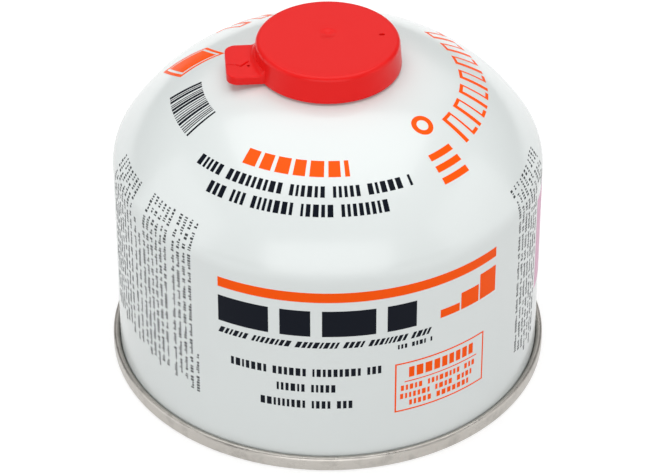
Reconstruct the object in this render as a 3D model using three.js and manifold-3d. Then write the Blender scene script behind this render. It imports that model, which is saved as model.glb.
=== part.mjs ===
// Screw-valve gas cartridge for a camping stove, standing on its seamed base.
// A drawn steel can with a domed shoulder, a dished base end folded on by a double seam,
// a crimped valve cup with a screw turret, the valve inside it, and a push-on cap with a tab.
// Millimetres, +Z up. The origin is on the can's axis, in the plane that it stands on.

import * as THREE from 'three';
import { mergeVertices } from 'three/addons/utils/BufferGeometryUtils.js';
import Module from 'manifold-3d';

const wasm = await Module();
wasm.setup();

// Sheet and clearances
const sheet = 0.4; // steel sheet of the can, the base end and the valve cup
const fitGap = 0.2; // gap between pieces that touch on the real cartridge
const wellGap = 0.3; // gap round the valve where it hangs inside the can

// Can body
const canRadius = 53.2; // outer face of the straight wall
const wallTop = 55.6; // height where the wall starts to turn in
const knuckleRadius = 9; // tight bend at the shoulder
const knuckleTurn = 31; // degrees of that bend
const crownRadius = 47.5; // large arc of the dome
const mouthRadius = 12.7; // one-inch mouth that takes the valve cup
const neckFillet = 0.6; // bend from the dome up into the neck
const neckRise = 1.2; // from that bend's centre to the bead's centre
const beadRadius = 1.25; // outer face of the rolled bead round the mouth
const beadEnd = -110; // degrees where the roll's edge stops

// Base end and double seam
const seamHeight = 3.9;
const seamBend = 0.4; // inside radius of the seam's folds
const chuckTop = 3.6; // height of the bend from the seam's inner wall to the dish
const chuckBend = 1.0; // inside radius of that bend
const dishRadius = 150; // sphere radius of the dished base

// Valve cup
const gasketThickness = 0.3; // sleeve gasket between bead and cup
const gasketGap = 0.1; // on either side of that gasket
const gasketEnd = 5; // degrees where the gasket starts on the bead's outside
const gasketSkirt = 1.2; // length of the gasket below the bead's centre
const curlEnd = -25; // degrees where the cup's rolled rim stops
const cupDepth = 7.2; // from the top of the rim down to the floor of the trough
const cupCorner = 0.8; // inside radius between trough wall and floor
const clinchDrop = 1.8; // from the neck bend down to the middle of the crimped bulge
const clinchHalf = 1.3; // half height of that bulge
const clinchDepth = 1.1; // how far it is pressed out under the neck

// Screw turret
const turretRadius = 5.556; // crest of a 7/16 inch thread
const turretRise = 1.95; // turret's top above the rim of the cup
const turretFillet = 0.8; // at its root and round its top edge
const crimpHeight = 1.65; // groove that holds the valve housing, above the trough floor
const crimpHalf = 0.7; // half height of that groove
const crimpDepth = 0.5;
const pinHoleRadius = 2.4; // hole in the turret's top for the stove's pin

// Valve inside the turret
const stemGasketThickness = 1.2;
const housingLength = 11.3;
const housingNeckRadius = 4.4; // below its shoulder
const housingBore = 3.4;
const housingFloor = 1.4;
const inletRadius = 0.9; // hole that lets the gas into the housing
const stubRadius = 1.2; // end of the stem that the pin pushes
const stubProud = 0.1; // stub above the stem gasket
const stubGap = 0.1;
const flangeRadius = 2.8;
const flangeThickness = 1.0;
const tailRadius = 1.5; // guide of the stem inside the spring
const tailLength = 4.9;
const springRadius = 2.25; // to the middle of the wire
const wireRadius = 0.25;
const springTurns = 6;

// Cap
const capFit = 0.8; // round the cup's rim, at the open end of the cap
const capWall = 1.1;
const capTaper = 0.4; // narrower at the top by this much on the radius
const capTop = 0.8; // thickness of its flat top
const capHeadroom = 0.45; // above the turret
const capEdge = 1.3; // round edge of the top
const capStand = 0.4; // open edge above the dome
const snapRadius = 0.35; // bead inside the skirt that grips under the cup's rim
const snapGap = 0.25; // that bead's clearance to the rim
const snapHeight = 0.6; // above the cap's open edge
const gateRadius = 2.4; // shallow moulding mark in the middle of the top
const gateDepth = 0.15;

// Pull tab on the cap
const tabReach = 6.95; // beyond the skirt
const tabWidth = 14.4;
const tabOffset = 1.2; // its middle line in front of the cap's axis
const tabThickness = 2.3;
const tabCorner = 2.8;
const tabTurn = 4; // degrees that the tab points in front of the -X axis
const tabGusset = 1.5; // ramp between tab and skirt
const tabPinhole = 0.45; // radius of the small hole at the tab's root
const tabPinholeOffset = 2.2; // of that hole, from the tab's middle line

// Facets round each turned piece
const facets = 36;
const valveFacets = 20;

// Derived places on the can, as radius and height
const rad = THREE.MathUtils.degToRad;
const crownCentre = {
  r: canRadius - knuckleRadius - (crownRadius - knuckleRadius) * Math.cos(rad(knuckleTurn)),
  z: wallTop - (crownRadius - knuckleRadius) * Math.sin(rad(knuckleTurn)),
};
const neckBend = { r: mouthRadius + sheet + neckFillet };
neckBend.z = crownCentre.z + Math.sqrt((crownRadius + neckFillet) ** 2 - (neckBend.r - crownCentre.r) ** 2);
const bead = { r: mouthRadius + beadRadius, z: neckBend.z + neckRise };

const chuckInside = canRadius - 2 * sheet - fitGap;
const dishEdge = { r: chuckInside - chuckBend, z: chuckTop };
const dishCentreZ = chuckTop - Math.sqrt((dishRadius - chuckBend) ** 2 - dishEdge.r ** 2);

const curlInside = beadRadius + 2 * gasketGap + gasketThickness;
const curlOutside = curlInside + sheet;
const cupRimRadius = bead.r + curlOutside;
const cupRimTop = bead.z + curlOutside;
const cupWallRadius = bead.r - curlOutside; // face that the trough sees
const troughFloor = cupRimTop - cupDepth;
const clinchZ = neckBend.z - clinchDrop;
const crimpZ = troughFloor + crimpHeight;
const turretTop = cupRimTop + turretRise;
const turretInside = turretRadius - sheet;

const stemGasketTop = turretTop - sheet - fitGap;
const stemGasketBottom = stemGasketTop - stemGasketThickness;
const housingTop = stemGasketBottom - fitGap;
const housingBottom = housingTop - housingLength;
const springSeat = housingBottom + housingFloor + fitGap;
const flangeTop = stemGasketBottom - fitGap;
const flangeBottom = flangeTop - flangeThickness;

const capInside = cupRimRadius + capFit;
const capOutside = capInside + capWall;
const capBottom = crownHeight(capInside) + capStand;
const capInnerTop = turretTop + capHeadroom;
const capHeight = capInnerTop + capTop - capBottom;

function crownHeight(r) {
  return crownCentre.z + Math.sqrt(crownRadius ** 2 - (r - crownCentre.r) ** 2);
}

// Profile helpers: a profile is a list of [radius, height] points

function arc(centre, radius, from, to, steps) {
  const points = [];
  for (let i = 0; i <= steps; i += 1) {
    const angle = rad(from + ((to - from) * i) / steps);
    points.push([centre.r + radius * Math.cos(angle), centre.z + radius * Math.sin(angle)]);
  }
  return points;
}

// A smooth bump along a vertical wall, from its lower end to its upper end.
function bump(r, z, half, depth, steps) {
  const points = [];
  for (let i = 0; i <= steps; i += 1) {
    const t = (2 * i) / steps - 1;
    points.push([r + (depth * (1 + Math.cos(Math.PI * t))) / 2, z + half * t]);
  }
  return points;
}

function reversed(points) {
  return [...points].reverse();
}

function angleTo(from, to) {
  return THREE.MathUtils.radToDeg(Math.atan2(to.z - from.z, to.r - from.r));
}

// Solid helpers

// Twice the profile's area, positive when it runs anticlockwise.
function turning(profile) {
  return profile.reduce((sum, [r, z], i) => {
    const [r2, z2] = profile[(i + 1) % profile.length];
    return sum + r * z2 - r2 * z;
  }, 0);
}

function turned(profile, segments) {
  const outward = turning(profile) > 0 ? profile : reversed(profile);
  const onAxis = outward.some(([r]) => r === 0);
  const loop = onAxis ? outward : [...outward, outward[0]];
  const geometry = new THREE.LatheGeometry(loop.map(([r, z]) => new THREE.Vector2(r, z)), segments);
  geometry.rotateX(Math.PI / 2);
  return geometry;
}

function toSolid(geometry) {
  const bare = geometry.index ? geometry.clone() : mergeVertices(geometry);
  bare.deleteAttribute('normal');
  bare.deleteAttribute('uv');
  const merged = mergeVertices(bare, 1e-4);
  const triVerts = [];
  const index = merged.index.array;
  for (let i = 0; i < index.length; i += 3) {
    const [a, b, c] = [index[i], index[i + 1], index[i + 2]];
    if (a !== b && b !== c && c !== a) {
      triVerts.push(a, b, c);
    }
  }
  return new wasm.Manifold(new wasm.Mesh({
    numProp: 3,
    vertProperties: Float32Array.from(merged.attributes.position.array),
    triVerts: Uint32Array.from(triVerts),
  }));
}

function toGeometry(solid) {
  const mesh = solid.getMesh();
  const geometry = new THREE.BufferGeometry();
  geometry.setAttribute('position', new THREE.BufferAttribute(mesh.vertProperties, 3));
  geometry.setIndex(new THREE.BufferAttribute(mesh.triVerts, 1));
  geometry.computeVertexNormals();
  return geometry;
}

// Pieces

// The drawn can: a filled solid, because it is sealed and holds the gas. Its wall ends below
// in the folded flange of the seam, and its dome ends above in the rolled bead of the mouth.
function canBody() {
  const hookCentre = { r: canRadius + seamBend, z: sheet + fitGap + sheet + seamBend };
  const hookTip = seamHeight - sheet - fitGap;
  const underside = [
    [0, dishCentreZ + dishRadius + sheet + fitGap],
    ...arc({ r: 0, z: dishCentreZ }, dishRadius + sheet + fitGap, 90, angleTo({ r: 0, z: dishCentreZ }, dishEdge), 4).slice(1),
    ...arc(dishEdge, chuckBend + sheet + fitGap, angleTo({ r: 0, z: dishCentreZ }, dishEdge), 0, 2).slice(1),
  ];
  const flange = [
    ...arc(hookCentre, seamBend + sheet, 180, 360, 4),
    [canRadius + 2 * seamBend + sheet, hookTip],
    [canRadius + 2 * seamBend, hookTip],
    ...arc(hookCentre, seamBend, 0, -180, 3),
  ];
  const shoulder = [
    ...arc({ r: canRadius - knuckleRadius, z: wallTop }, knuckleRadius, 0, knuckleTurn, 4),
    ...arc(crownCentre, crownRadius, knuckleTurn, angleTo(crownCentre, neckBend), 8).slice(1),
  ];
  const neck = [
    ...arc(neckBend, neckFillet, angleTo(neckBend, crownCentre), -180, 2).slice(1),
    ...arc(bead, beadRadius - sheet, 180, beadEnd, 6),
    ...arc(bead, beadRadius, beadEnd, 180, 8),
    ...arc(neckBend, neckFillet + sheet, 180, 270, 3),
  ];
  const floorUnder = troughFloor - sheet - wellGap;
  const wellRadius = cupWallRadius + sheet + wellGap;
  const well = [
    [neckBend.r, clinchZ - clinchHalf + wellGap],
    [wellRadius, clinchZ - clinchHalf - wellGap],
    [wellRadius, floorUnder],
    [housingNeckRadius + wellGap, floorUnder],
    [housingNeckRadius + wellGap, housingBottom - wellGap],
    [0, housingBottom - wellGap],
  ];
  return turned([...underside, ...flange, ...shoulder, ...neck, ...well], facets);
}

// The base end: a dished sheet whose rim is folded round the can's flange.
function baseEnd() {
  const dishCentre = { r: 0, z: dishCentreZ };
  const dishAngle = angleTo(dishCentre, dishEdge);
  const seamRadius = canRadius + 3 * (sheet + fitGap);
  const foldOutside = seamBend + sheet;
  const footInner = { r: chuckInside + foldOutside, z: foldOutside };
  const footOuter = { r: seamRadius - foldOutside, z: foldOutside };
  const topFold = { r: seamRadius - foldOutside, z: seamHeight - foldOutside };
  const hookTip = 2 * sheet + 2 * fitGap;
  const below = [
    [0, dishCentreZ + dishRadius],
    ...arc(dishCentre, dishRadius, 90, dishAngle, 4).slice(1),
    ...arc(dishEdge, chuckBend, dishAngle, 0, 2).slice(1),
    ...arc(footInner, foldOutside, 180, 270, 3),
    ...arc(footOuter, foldOutside, 270, 360, 3),
    ...arc(topFold, foldOutside, 0, 180, 6),
  ];
  const inside = [
    [topFold.r - foldOutside, hookTip],
    [topFold.r - seamBend, hookTip],
    ...arc(topFold, seamBend, 180, 0, 3),
    ...arc(footOuter, seamBend, 0, -90, 2),
    ...arc(footInner, seamBend, 270, 180, 2),
    ...arc(dishEdge, chuckBend + sheet, 0, dishAngle, 2),
    ...arc(dishCentre, dishRadius + sheet, dishAngle, 90, 4).slice(1, -1),
    [0, dishCentreZ + dishRadius + sheet],
  ];
  return turned([...below, ...inside], facets);
}

// The valve cup: rolled over the bead, crimped out under the neck, and drawn up into the turret.
function mountingCup() {
  const wallOutside = cupWallRadius + sheet;
  const cornerCentre = { r: cupWallRadius - cupCorner, z: troughFloor + cupCorner };
  const rootCentre = { r: turretRadius + turretFillet, z: troughFloor + turretFillet };
  const topCentre = { r: turretRadius - turretFillet, z: turretTop - turretFillet };
  const troughSide = [
    ...arc(bead, curlOutside, curlEnd, 180, 8),
    ...reversed(bump(cupWallRadius, clinchZ, clinchHalf, clinchDepth, 4)),
    ...arc(cornerCentre, cupCorner, 0, -90, 2),
    ...arc(rootCentre, turretFillet, 270, 180, 2),
    ...bump(turretRadius, crimpZ, crimpHalf, -crimpDepth, 4),
    ...arc(topCentre, turretFillet, 0, 90, 3),
    [pinHoleRadius, turretTop],
  ];
  const canSide = [
    [pinHoleRadius, turretTop - sheet],
    ...arc(topCentre, turretFillet - sheet, 90, 0, 2),
    ...reversed(bump(turretInside, crimpZ, crimpHalf, -crimpDepth, 4)),
    ...arc(rootCentre, turretFillet + sheet, 180, 270, 2),
    ...arc(cornerCentre, cupCorner + sheet, -90, 0, 2),
    ...bump(wallOutside, clinchZ, clinchHalf, clinchDepth, 4),
    ...arc(bead, curlInside, 180, curlEnd, 8),
  ];
  return turned([...troughSide, ...canSide], facets);
}

// Sleeve gasket between the can's bead and the cup.
function cupGasket() {
  const inner = beadRadius + gasketGap;
  const outer = inner + gasketThickness;
  const skirtEnd = bead.z - gasketSkirt;
  return turned([
    ...arc(bead, inner, gasketEnd, 180, 5),
    [bead.r - inner, skirtEnd],
    [bead.r - outer, skirtEnd],
    ...arc(bead, outer, 180, gasketEnd, 5),
  ], facets);
}

// Flat ring that the stem closes against.
function stemGasket() {
  return turned([
    [stubRadius + stubGap, stemGasketBottom],
    [turretInside - fitGap, stemGasketBottom],
    [turretInside - fitGap, stemGasketTop],
    [stubRadius + stubGap, stemGasketTop],
  ], valveFacets);
}

// Moulded housing, held by its shoulder above the groove in the turret.
function valveHousing() {
  const shoulder = crimpZ + crimpHalf + fitGap;
  const radius = turretInside - fitGap;
  return turned([
    [inletRadius, housingBottom],
    [housingNeckRadius, housingBottom],
    [housingNeckRadius, shoulder],
    [radius, shoulder],
    [radius, housingTop],
    [housingBore, housingTop],
    [housingBore, housingBottom + housingFloor],
    [inletRadius, housingBottom + housingFloor],
  ], valveFacets);
}

// Stem: the stub that the stove's pin pushes, the sealing flange and the guide below it.
function valveStem() {
  const tailEnd = flangeBottom - tailLength;
  const chamfer = tailRadius / 3;
  return turned([
    [0, tailEnd],
    [tailRadius - chamfer, tailEnd],
    [tailRadius, tailEnd + chamfer],
    [tailRadius, flangeBottom],
    [flangeRadius, flangeBottom],
    [flangeRadius, flangeTop],
    [stubRadius, flangeTop],
    [stubRadius, stemGasketTop + stubProud],
    [0, stemGasketTop + stubProud],
  ], valveFacets);
}

class Helix extends THREE.Curve {
  constructor(radius, bottom, height, turns) {
    super();
    this.radius = radius;
    this.bottom = bottom;
    this.height = height;
    this.turns = turns;
  }

  getPoint(t, target = new THREE.Vector3()) {
    const angle = 2 * Math.PI * this.turns * t;
    return target.set(
      this.radius * Math.cos(angle),
      this.radius * Math.sin(angle),
      this.bottom + this.height * t,
    );
  }
}

// Return spring between the housing's floor and the stem's flange.
function valveSpring() {
  const bottom = springSeat + wireRadius;
  const top = flangeBottom - fitGap - wireRadius;
  const wire = new THREE.Shape().absarc(0, 0, wireRadius, 0, 2 * Math.PI);
  return new THREE.ExtrudeGeometry(wire, {
    extrudePath: new Helix(springRadius, bottom, top - bottom, springTurns),
    steps: springTurns * 10,
    curveSegments: 3,
  });
}

// The cap: a turned shell with its pull tab, the ramp at the tab's root and the pinhole.
function cap() {
  const topZ = capInnerTop + capTop;
  const taper = capTaper / capHeight;
  const innerAt = (z) => capInside - taper * (z - capBottom);
  const snap = { r: cupRimRadius + snapGap + snapRadius, z: capBottom + snapHeight };
  const edgeRound = 0.25;
  const shell = toSolid(turned([
    [0, topZ - gateDepth],
    [gateRadius / 2, topZ - gateDepth * 0.8],
    [gateRadius, topZ],
    ...arc({ r: capOutside - capTaper - capEdge, z: topZ - capEdge }, capEdge, 90, 0, 3),
    [capOutside, capBottom + edgeRound],
    [capOutside - edgeRound, capBottom],
    [capInside, capBottom],
    [innerAt(snap.z - snapRadius), snap.z - snapRadius],
    [snap.r - snapRadius, snap.z],
    [innerAt(snap.z + snapRadius), snap.z + snapRadius],
    [innerAt(capInnerTop - capWall), capInnerTop - capWall],
    [innerAt(capInnerTop) - capWall, capInnerTop],
    [0, capInnerTop],
  ], facets));

  const ramp = toSolid(turned([
    [capInside + capWall / 2, capBottom + tabThickness / 2],
    [capOutside + tabGusset, capBottom + tabThickness / 2],
    [capOutside + tabGusset, capBottom + tabThickness],
    [capInside + capWall / 2, capBottom + tabThickness + tabGusset],
  ], facets));
  const solid = shell
    .add(tabPrism(tabThickness))
    .add(ramp.intersect(tabPrism(tabThickness + tabGusset)))
    .subtract(pinhole());
  return toGeometry(solid);
}

function tabPrism(height) {
  const root = capInside + capWall / 2;
  const end = capOutside + tabReach;
  const half = tabWidth / 2;
  const outline = new THREE.Shape();
  outline.moveTo(root, -half);
  outline.lineTo(end - tabCorner, -half);
  outline.absarc(end - tabCorner, -half + tabCorner, tabCorner, -Math.PI / 2, 0);
  outline.absarc(end - tabCorner, half - tabCorner, tabCorner, 0, Math.PI / 2);
  outline.lineTo(root, half);
  const rootMiddle = Math.sqrt(root ** 2 - half ** 2) - capWall / 4;
  outline.lineTo(rootMiddle, half);
  outline.lineTo(rootMiddle, -half);
  const geometry = new THREE.ExtrudeGeometry(outline, { depth: height, bevelEnabled: false, curveSegments: 2 });
  const prism = toSolid(onTab(geometry));
  const hollow = toSolid(turned([
    [0, capBottom - 1],
    [root, capBottom - 1],
    [root, capBottom + height + 1],
    [0, capBottom + height + 1],
  ], facets));
  return prism.subtract(hollow);
}

function pinhole() {
  const reach = capOutside + tabGusset;
  const geometry = new THREE.CylinderGeometry(tabPinhole, tabPinhole, 4 * tabThickness, 8);
  geometry.rotateX(Math.PI / 2);
  geometry.translate(reach, tabPinholeOffset, tabThickness / 2);
  return toSolid(onTab(geometry));
}

// From the tab's own axes, with +X outwards, to its place on the cap.
function onTab(geometry) {
  geometry.translate(0, tabOffset, 0);
  geometry.rotateZ(Math.PI + rad(tabTurn));
  geometry.translate(0, 0, capBottom);
  return geometry;
}

// Materials

const lacquer = new THREE.MeshStandardMaterial({ color: 0xeceeec, roughness: 0.25, metalness: 0 });
const tinplate = new THREE.MeshStandardMaterial({ color: 0xbfb8ad, roughness: 0.35, metalness: 1 });
const cupSteel = new THREE.MeshStandardMaterial({ color: 0xc9c9c6, roughness: 0.3, metalness: 1 });
const blackRubber = new THREE.MeshStandardMaterial({ color: 0x1c1c1e, roughness: 0.8, metalness: 0 });
const paleNylon = new THREE.MeshStandardMaterial({ color: 0xe6e2d6, roughness: 0.5, metalness: 0 });
const springSteel = new THREE.MeshStandardMaterial({ color: 0xa8a8aa, roughness: 0.3, metalness: 1 });
const redPlastic = new THREE.MeshStandardMaterial({ color: 0xe0262a, roughness: 0.3, metalness: 0 });

// Assembly

const cartridge = new THREE.Group();

function piece(name, geometry, material) {
  const mesh = new THREE.Mesh(geometry, material);
  mesh.name = name;
  cartridge.add(mesh);
}

piece('can_body', canBody(), lacquer);
piece('base_end', baseEnd(), tinplate);
piece('mounting_cup', mountingCup(), cupSteel);
piece('cup_gasket', cupGasket(), blackRubber);
piece('stem_gasket', stemGasket(), blackRubber);
piece('valve_housing', valveHousing(), paleNylon);
piece('valve_stem', valveStem(), paleNylon);
piece('valve_spring', valveSpring(), springSteel);
piece('cap', cap(), redPlastic);

export default cartridge;
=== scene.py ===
"""Looks of a screw-valve gas cartridge: lacquered can, tinplate base, valve and red cap."""

import math
import random
from types import SimpleNamespace

import bmesh
import bpy
from mathutils import Matrix, Vector


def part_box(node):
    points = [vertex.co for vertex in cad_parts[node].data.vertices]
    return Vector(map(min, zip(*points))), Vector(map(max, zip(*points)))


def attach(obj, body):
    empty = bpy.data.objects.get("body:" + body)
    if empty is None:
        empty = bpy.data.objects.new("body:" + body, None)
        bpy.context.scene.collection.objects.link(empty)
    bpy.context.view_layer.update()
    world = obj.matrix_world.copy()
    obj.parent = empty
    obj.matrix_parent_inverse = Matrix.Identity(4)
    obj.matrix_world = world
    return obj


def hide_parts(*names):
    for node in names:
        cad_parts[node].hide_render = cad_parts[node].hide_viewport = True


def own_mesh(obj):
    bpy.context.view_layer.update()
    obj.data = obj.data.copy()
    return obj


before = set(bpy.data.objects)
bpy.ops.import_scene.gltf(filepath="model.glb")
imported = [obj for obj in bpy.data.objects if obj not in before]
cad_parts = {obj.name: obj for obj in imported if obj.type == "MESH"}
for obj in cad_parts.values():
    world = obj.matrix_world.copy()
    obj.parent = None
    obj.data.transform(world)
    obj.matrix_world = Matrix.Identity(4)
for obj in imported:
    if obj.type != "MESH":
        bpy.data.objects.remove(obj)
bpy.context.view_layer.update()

bl_info = {
    "name": "Gas Cartridge",
    "version": (1, 0, 0),
    "blender": (4, 5, 0),
    "location": "View3D > Sidebar > Cartridge",
    "description": "Dresses a screw-valve gas cartridge for a camping stove",
    "category": "Object",
}

MM = 0.001
BODY = "canister"
FRONT = -90.0  # degrees of the printed front, measured from +X
COIL = 2.25 * MM  # radius of the spring, to the middle of its wire
SEAL_HOLE = 1.3 * MM
INLET = 0.9 * MM  # radius of the hole in the housing's floor
STEM_GUIDE = 1.5 * MM
STEM_STUB = 1.2 * MM
STEM_FLANGE = 1.0 * MM  # thickness of the stem's sealing flange
PIT_SIDE = 1.8 * MM  # distance of the pit behind the cap's middle line
PRINT_SEED = 7
# The photo's camera, in pixels of its picture
PICTURE_WIDTH = 658.0
FOCAL = 3350.1
SIDE_SHIFT = 1.16
# Soft lights: name, place, size and power
LAMPS = (
    ("Top box", (0.0, 0.1, 1.0), (1.3, 0.9), 7.7),
    ("Back box", (0.0, 1.1, 0.85), (1.6, 0.6), 2.0),
    ("Front box", (0.0, -1.3, 0.5), (1.6, 1.0), 10.8),
    ("Left box", (-1.0, -0.1, 0.3), (0.9, 0.8), 2.8),
    ("Right box", (1.0, -0.1, 0.3), (0.9, 0.8), 2.6),
)
# Bent line in the tab: distance beyond the skirt, and distance from the tab's middle line
CREASE = ((6.6 * MM, 1.3 * MM), (4.6 * MM, 1.5 * MM), (3.3 * MM, 2.3 * MM), (1.5 * MM, 0.4 * MM))


def low(node):
    """Lowest corner of a node in the frame."""
    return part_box(node)[0]


def high(node):
    """Highest corner of a node in the frame."""
    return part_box(node)[1]


def title(name):
    return name.replace("_", " ").capitalize()


def lengths(**rows):
    """Length properties, from a size in millimetres and a description each."""
    return {
        name: bpy.props.FloatProperty(
            name=title(name), description=text, default=size * MM, min=0.0, unit="LENGTH", precision=5
        )
        for name, (size, text) in rows.items()
    }


def colours(**rows):
    """Colour properties, from a colour and a description each."""
    return {
        name: bpy.props.FloatVectorProperty(
            name=title(name), description=text, default=value, size=3, min=0.0, max=1.0, subtype="COLOR"
        )
        for name, (value, text) in rows.items()
    }


def turned(default, text):
    """An angle property, with its default in degrees."""
    return bpy.props.FloatProperty(description=text, default=math.radians(default), subtype="ANGLE")


# Sizes and colours


class CanSizes(bpy.types.PropertyGroup):
    """Sizes of the drawn can and its seamed base"""

    __annotations__ = lengths(
        sheet=(0.4, "Thickness of the steel sheet"),
        gap=(0.2, "Gap between folded layers"),
        radius=(53.2, "Outer face of the straight wall"),
        wall_top=(55.6, "Height where the wall turns in"),
        knuckle=(9.0, "Tight bend at the shoulder"),
        crown=(47.5, "Large arc of the dome"),
        mouth=(12.7, "Mouth that takes the valve cup"),
        neck_fillet=(0.6, "Bend from the dome into the neck"),
        neck_rise=(1.2, "From the neck bend to the bead"),
        bead=(1.25, "Rolled bead round the mouth"),
        seam_height=(3.9, "Height of the double seam"),
        fold=(0.4, "Inside radius of the seam's folds"),
        chuck_top=(3.6, "Bend from the seam into the dish"),
        chuck_bend=(1.0, "Inside radius of that bend"),
        dish=(150.0, "Sphere radius of the dished base"),
    )
    knuckle_turn: turned(31.0, "Angle of the shoulder's tight bend")


class ValveSizes(bpy.types.PropertyGroup):
    """Sizes of the valve cup, its turret and the valve inside"""

    __annotations__ = lengths(
        gasket=(0.3, "Sleeve gasket between bead and cup"),
        gasket_gap=(0.1, "Gap on either side of that gasket"),
        cup_depth=(7.2, "From the rim to the trough's floor"),
        cup_corner=(0.8, "Round corner of the trough"),
        clinch_drop=(1.8, "From the neck bend to the crimped bulge"),
        clinch_half=(1.3, "Half height of that bulge"),
        clinch_depth=(1.1, "Depth of that bulge"),
        turret=(5.556, "Crest of the screw thread"),
        turret_rise=(1.95, "Turret above the cup's rim"),
        turret_fillet=(0.8, "Round edges of the turret"),
        crimp_height=(1.65, "Groove above the trough's floor"),
        crimp_half=(0.7, "Half height of that groove"),
        crimp_depth=(0.5, "Depth of that groove"),
        pin_hole=(2.4, "Radius of the hole in the turret's top"),
        pitch=(25.4 / 28, "Pitch of the turret's thread"),
        thread_depth=(0.45, "Depth of the turret's thread"),
        wire=(0.25, "Radius of the spring's wire"),
        travel=(1.8, "How far a stove's pin pushes the stem"),
        housing_neck=(4.4, "Housing below its shoulder"),
        housing_bore=(3.4, "Bore that holds stem and spring"),
        housing_floor=(1.4, "Floor under the spring"),
        well_gap=(0.3, "Room round the cup and the housing"),
    )
    turns: bpy.props.IntProperty(description="Turns of the spring", default=6, min=2)


class CapSizes(bpy.types.PropertyGroup):
    """Sizes of the push-on cap"""

    __annotations__ = lengths(
        fit=(0.8, "Clearance round the cup's rim"),
        wall=(1.1, "Thickness of the skirt"),
        taper=(0.4, "How much narrower the top is"),
        top=(0.8, "Thickness of the flat top"),
        headroom=(0.45, "Space above the turret"),
        edge=(1.3, "Round edge of the top"),
        stand=(0.4, "Open edge above the dome"),
        snap=(0.35, "Bead inside the skirt"),
        snap_gap=(0.25, "Bead's clearance to the rim"),
        snap_height=(0.6, "Bead above the open edge"),
        gate=(2.7, "Radius of the mark in the middle"),
        gate_depth=(0.42, "Depth of that mark"),
        gate_shift=(2.6, "Distance of that mark behind the cap's axis"),
        tab_reach=(6.95, "Tab beyond the skirt"),
        tab_width=(14.4, "Width of the tab"),
        tab_offset=(1.2, "Tab's middle line in front of the cap's axis"),
        tab_thickness=(2.3, "Thickness of the tab"),
        tab_corner=(2.8, "Round corners of the tab"),
        tab_round=(0.35, "Round edges of the tab"),
        gusset=(1.5, "Ramp between tab and skirt"),
        pinhole=(0.45, "Hole at the tab's root"),
        pinhole_offset=(2.2, "Hole from the tab's middle line"),
        crease_depth=(0.55, "Depth of the bent line in the tab"),
        crease_half=(0.24, "Half width of that line"),
        pit=(0.5, "Half width of the pit in the top"),
        pit_depth=(0.6, "Depth of the pit"),
        pit_place=(13.1, "Distance of the pit from the cap's axis"),
    )
    pit_stretch: bpy.props.FloatProperty(description="Length over width of the pit", default=1.7, min=1.0)
    tab_turn: turned(4.0, "How far the tab points in front of the side")


class Finishes(bpy.types.PropertyGroup):
    """Colours of the cartridge"""

    __annotations__ = colours(
        lacquer=((0.74, 0.78, 0.772), "White lacquer of the can"),
        tinplate=((0.50, 0.475, 0.44), "Bare tinplate of the base"),
        cup_steel=((0.62, 0.62, 0.60), "Drawn tinplate of the valve cup"),
        rubber=((0.018, 0.018, 0.02), "Black rubber of the gaskets"),
        nylon=((0.72, 0.68, 0.58), "Pale nylon of the valve"),
        spring=((0.42, 0.42, 0.43), "Drawn spring wire"),
        cap=((0.775, 0.009, 0.008), "Red plastic of the cap"),
        black_ink=((0.006, 0.008, 0.014), "Black print"),
        grey_ink=((0.06, 0.066, 0.07), "Small print"),
        orange_ink=((1.0, 0.10, 0.004), "Orange print"),
        pink_ink=((0.80, 0.42, 0.60), "Pink field"),
    )


# Places worked out from the sizes


def places(scene):
    """Radius and height of every feature that more than one piece needs."""
    c = scene.can_sizes
    v = scene.valve_sizes
    k = scene.cap_sizes
    p = SimpleNamespace(can=c, valve=v, cap=k)
    reach = c.crown - c.knuckle
    p.knuckle = (c.radius - c.knuckle, c.wall_top)
    p.crown = (
        c.radius - c.knuckle - reach * math.cos(c.knuckle_turn),
        c.wall_top - reach * math.sin(c.knuckle_turn),
    )
    neck_r = c.mouth + c.sheet + c.neck_fillet
    neck_z = p.crown[1] + math.sqrt((c.crown + c.neck_fillet) ** 2 - (neck_r - p.crown[0]) ** 2)
    p.neck = (neck_r, neck_z)
    p.bead = (c.mouth + c.bead, neck_z + c.neck_rise)
    p.chuck = c.radius - 2 * c.sheet - c.gap
    p.dish_edge = (p.chuck - c.chuck_bend, c.chuck_top)
    p.dish = (0.0, c.chuck_top - math.sqrt((c.dish - c.chuck_bend) ** 2 - p.dish_edge[0] ** 2))
    p.curl_in = c.bead + 2 * v.gasket_gap + v.gasket
    p.curl_out = p.curl_in + c.sheet
    p.rim = p.bead[0] + p.curl_out
    p.rim_top = p.bead[1] + p.curl_out
    p.cup_wall = p.bead[0] - p.curl_out
    p.floor = p.rim_top - v.cup_depth
    p.clinch = p.neck[1] - v.clinch_drop
    p.crimp = p.floor + v.crimp_height
    p.turret_top = p.rim_top + v.turret_rise
    p.cap_in = p.rim + k.fit
    p.cap_out = p.cap_in + k.wall
    p.cap_bottom = crown_height(p, p.cap_in) + k.stand
    p.cap_ceiling = p.turret_top + k.headroom
    p.cap_top = p.cap_ceiling + k.top
    return p


def crown_height(p, r):
    return p.crown[1] + math.sqrt(p.can.crown**2 - (r - p.crown[0]) ** 2)


# Profiles, as lists of (radius, height)


def arc(centre, radius, start, end, steps):
    """Points of an arc, with its ends in degrees."""
    points = []
    for i in range(steps + 1):
        angle = math.radians(start + (end - start) * i / steps)
        points.append((centre[0] + radius * math.cos(angle), centre[1] + radius * math.sin(angle)))
    return points


def bump(r, z, half, depth, steps):
    """A smooth bulge along an upright wall, from its lower end to its upper end."""
    points = []
    for i in range(steps + 1):
        t = 2 * i / steps - 1
        points.append((r + depth * (1 + math.cos(math.pi * t)) / 2, z + half * t))
    return points


def angle_to(start, end):
    return math.degrees(math.atan2(end[1] - start[1], end[0] - start[0]))


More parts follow.
